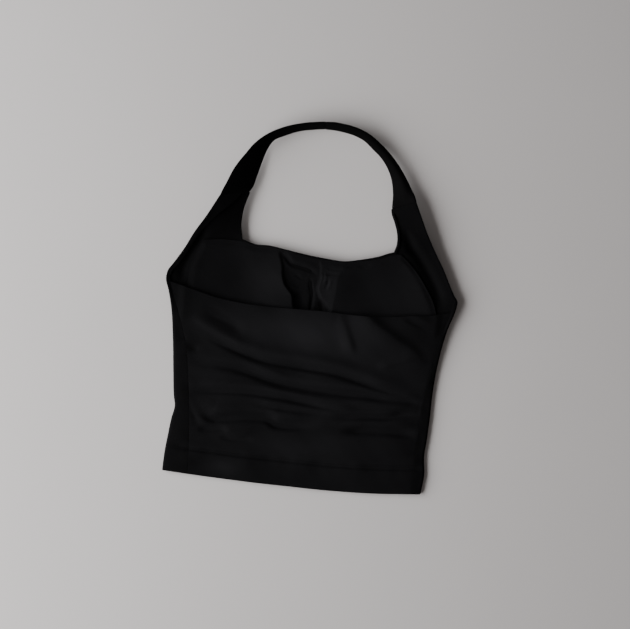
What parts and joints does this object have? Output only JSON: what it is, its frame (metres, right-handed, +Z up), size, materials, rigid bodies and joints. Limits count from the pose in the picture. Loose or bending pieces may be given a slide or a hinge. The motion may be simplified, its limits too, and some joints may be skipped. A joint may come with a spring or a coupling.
{
  "type": "halter neck top",
  "caption": "Halter neck top of stretch jersey with padded cup lining, lying flat on its front with the back panel and neck loop on show.",
  "frame": {"origin": "middle of the garment's box, on the surface that it lies on", "axes": "+X across the garment, +Y from the hem to the nape, +Z up from the surface"},
  "size_m": [0.3502, 0.4407, 0.0182],
  "materials": {
    "jersey": "soft black stretch jersey with a faint sheen",
    "lining": "smooth black lining jersey over thin padding"
  },
  "bodies": {
    "root": {"front_panel": "jersey", "back_panel": "jersey", "bust_lining": "lining", "strap_left": "jersey", "strap_right": "jersey"}
  },
  "joints": []
}
